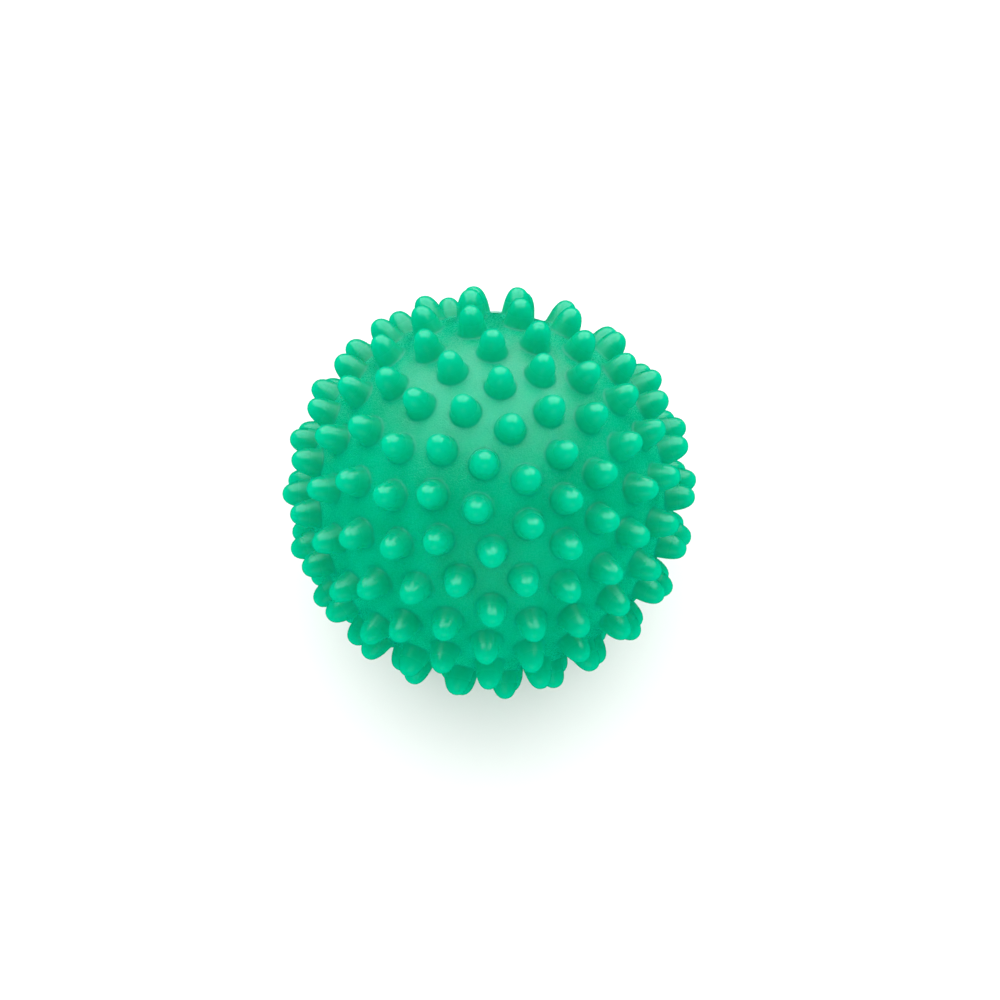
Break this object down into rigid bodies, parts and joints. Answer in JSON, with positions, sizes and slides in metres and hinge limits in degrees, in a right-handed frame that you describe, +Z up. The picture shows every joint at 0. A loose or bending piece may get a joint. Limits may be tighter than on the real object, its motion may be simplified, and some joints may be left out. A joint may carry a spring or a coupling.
{
  "type": "massage ball",
  "caption": "Hollow air-filled massage ball covered in round-tipped nubs, with a recessed inflation valve and a pull-out plug.",
  "frame": {"origin": "the ball's centre", "axes": "+Y out along the inflation valve's axis, which is level; +Z up, with the ball lying as it would on a table"},
  "size_m": [0.0895, 0.0887, 0.0892],
  "materials": {
    "green_vinyl": "satin",
    "bush_vinyl": "satin",
    "plug_vinyl": "satin"
  },
  "bodies": {
    "ball": {"ball_skin": "green_vinyl", "valve_bush": "bush_vinyl"},
    "plug": {"valve_plug": "plug_vinyl"}
  },
  "joints": [
    {"name": "plug_pull", "type": "slide", "parent": "ball", "child": "plug", "axis": [0, 1, 0], "range_m": [0, 0.014]}
  ]
}
